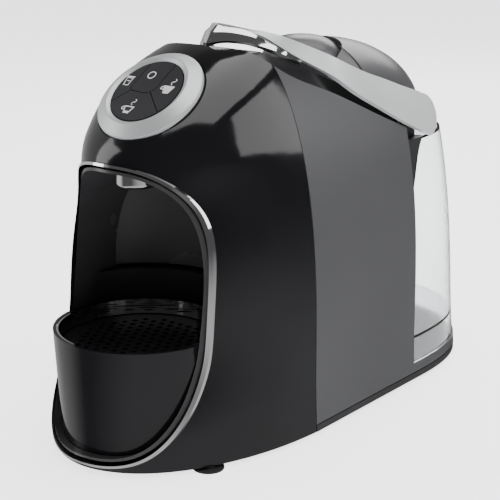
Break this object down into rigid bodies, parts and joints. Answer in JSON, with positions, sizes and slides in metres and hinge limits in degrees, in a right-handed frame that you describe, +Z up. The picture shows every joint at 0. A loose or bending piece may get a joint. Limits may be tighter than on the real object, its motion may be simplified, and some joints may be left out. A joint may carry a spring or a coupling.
{
  "type": "pod coffee machine",
  "caption": "Compact pod coffee machine with a lever over its arched casing, a cup niche with a drip tray, a round button panel and a clear rear water tank.",
  "frame": {"origin": "middle of the footprint, on the floor", "axes": "+Z up, the cup niche faces -Y, the water tank is at +Y, X is across; X=0 is the plane of symmetry"},
  "size_m": [0.19, 0.4101, 0.2916],
  "materials": {
    "gloss_black": "gloss",
    "satin_grey": "satin metallic",
    "satin_silver": "satin",
    "bright_chrome": "polished",
    "matte_black": "matte",
    "grid_black": "satin",
    "cap_grey": "satin",
    "button_grey": "satin",
    "clear_plastic": "clear",
    "black_rubber": "matte",
    "natural_plastic": "satin",
    "steel": "brushed",
    "cast_aluminium": "cast",
    "pump_body": "matte",
    "hose": "satin",
    "board_green": "satin",
    "component_black": "matte"
  },
  "bodies": {
    "machine": {"bottom_plate": "matte_black", "base_pan": "matte_black", "rubber_feet": "black_rubber", "base_screws": "steel", "cord_gland": "black_rubber", "front_casing": "gloss_black", "opening_bead": "bright_chrome", "rear_casing": "satin_grey", "bulkhead": "matte_black", "lever_deck": "matte_black", "cup_niche": "gloss_black", "panel_carrier": "matte_black", "control_ring": "satin_silver", "button_board": "board_green", "button_switches": "component_black", "lever_pins": "steel", "lever_frame": "matte_black", "brew_cap": "cap_grey", "water_spigot": "natural_plastic", "spigot_gasket": "black_rubber", "brew_head": "natural_plastic", "brew_frame": "matte_black", "pod_seal": "black_rubber", "pod_chute": "matte_black", "coffee_channel": "hose", "spout_body": "matte_black", "coffee_outlet": "bright_chrome", "thermoblock": "cast_aluminium", "boiler_bracket": "steel", "water_pump": "pump_body", "pump_mounts": "black_rubber", "flow_meter": "natural_plastic", "control_board": "board_green", "board_components": "component_black", "board_posts": "component_black", "suction_hose": "hose", "feed_hose": "hose"},
    "lever": {"lever_band": "satin_silver", "lever_grip": "bright_chrome"},
    "piston": {"brew_piston": "natural_plastic", "piston_ring": "black_rubber", "piercing_plate": "steel"},
    "tray": {"drip_tray": "gloss_black", "tray_trim": "bright_chrome"},
    "grid": {"drip_grid": "grid_black"},
    "bin": {"pod_bin": "matte_black"},
    "tank": {"water_tank": "clear_plastic", "tank_valve": "natural_plastic", "tank_strainer": "natural_plastic"},
    "lid": {"tank_lid": "cap_grey"},
    "power_press": {"power_button": "button_grey"},
    "hot_water_press": {"hot_water_button": "button_grey"},
    "short_coffee_press": {"short_coffee_button": "button_grey"},
    "long_coffee_press": {"long_coffee_button": "button_grey"}
  },
  "joints": [
    {"name": "lever_hinge", "type": "hinge", "parent": "machine", "child": "lever", "pos_m": [0, 0.099, 0.213], "axis": [-1, 0, 0], "range_deg": [0, 70]},
    {"name": "piston_slide", "type": "slide", "parent": "machine", "child": "piston", "axis": [0, 1, 0], "range_m": [0, 0.016]},
    {"name": "tray_slide", "type": "slide", "parent": "machine", "child": "tray", "axis": [0, -1, 0], "range_m": [0, 0.17]},
    {"name": "bin_slide", "type": "slide", "parent": "machine", "child": "bin", "axis": [0, -1, 0], "range_m": [0, 0.17]},
    {"name": "grid_lift", "type": "slide", "parent": "tray", "child": "grid", "axis": [0, 0, 1], "range_m": [0, 0.04]},
    {"name": "tank_slide", "type": "slide", "parent": "machine", "child": "tank", "axis": [0, 1, 0], "range_m": [0, 0.14]},
    {"name": "lid_lift", "type": "slide", "parent": "tank", "child": "lid", "axis": [0, 0, 1], "range_m": [0, 0.06]},
    {"name": "power_press", "type": "slide", "parent": "machine", "child": "power_press", "axis": [0, 0.6266, -0.7793], "range_m": [0, 0.0008], "stiffness_N_per_m": 400},
    {"name": "hot_water_press", "type": "slide", "parent": "machine", "child": "hot_water_press", "axis": [0, 0.6266, -0.7793], "range_m": [0, 0.0008], "stiffness_N_per_m": 400},
    {"name": "short_coffee_press", "type": "slide", "parent": "machine", "child": "short_coffee_press", "axis": [0, 0.6266, -0.7793], "range_m": [0, 0.0008], "stiffness_N_per_m": 400},
    {"name": "long_coffee_press", "type": "slide", "parent": "machine", "child": "long_coffee_press", "axis": [0, 0.6266, -0.7793], "range_m": [0, 0.0008], "stiffness_N_per_m": 400}
  ],
  "couplings": [
    {"joint": "piston_slide", "follows": "lever_hinge", "m_per_rad": 0.013},
    {"joint": "bin_slide", "follows": "tray_slide", "ratio": 1}
  ]
}
